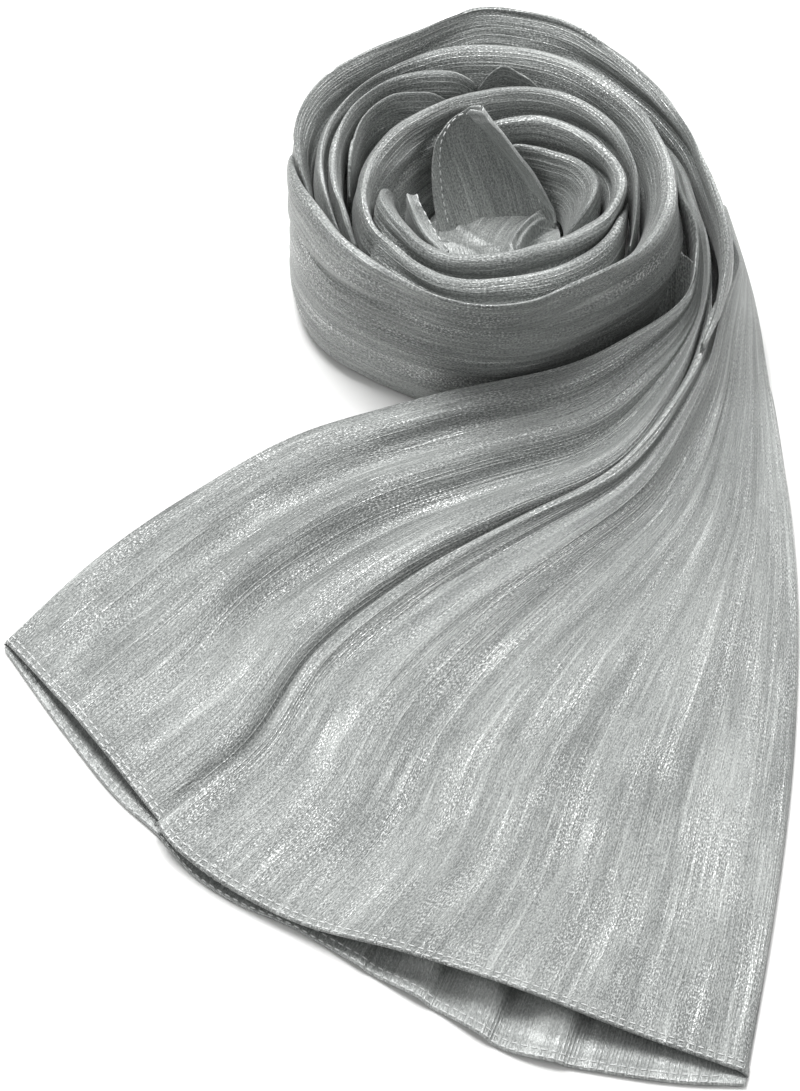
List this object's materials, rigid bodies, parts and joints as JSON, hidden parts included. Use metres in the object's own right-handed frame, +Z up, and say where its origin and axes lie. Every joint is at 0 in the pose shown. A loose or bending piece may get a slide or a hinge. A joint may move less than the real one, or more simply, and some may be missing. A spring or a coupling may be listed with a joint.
{
  "type": "hijab",
  "caption": "Crinkled satin hijab, folded double, one end wound into an upright coil and the other end fanned out flat with rolled hems.",
  "frame": {"origin": "centre of the footprint, on the surface that the scarf rests on", "axes": "+Z up, +Y from the fanned end's hem towards the coil, +X to the right as seen from the hem"},
  "size_m": [0.3113, 0.4921, 0.078],
  "materials": {
    "satin_outer": "crinkled satin with a silver shimmer",
    "satin_inner": "crinkled satin with a silver shimmer",
    "satin_tail": "crinkled satin with a silver shimmer",
    "satin_hem": "rolled and stitched satin hem",
    "satin_hidden": "crinkled satin"
  },
  "bodies": {
    "root": {"front_wall": "satin_outer", "outer_turn": "satin_outer", "second_turn": "satin_inner", "back_fold": "satin_inner", "back_fold_inner": "satin_inner", "back_corner": "satin_inner", "third_turn": "satin_inner", "front_fold": "satin_inner", "fourth_turn": "satin_inner", "inner_fold": "satin_inner", "corner_loop": "satin_inner", "end_corner": "satin_inner", "core_floor": "satin_hidden", "hidden_layers": "satin_hidden", "tail_left_panel": "satin_tail", "tail_right_panel": "satin_tail", "tail_under_layer": "satin_tail", "hem_left": "satin_hem", "hem_right": "satin_hem", "hem_under": "satin_hem"}
  },
  "joints": []
}
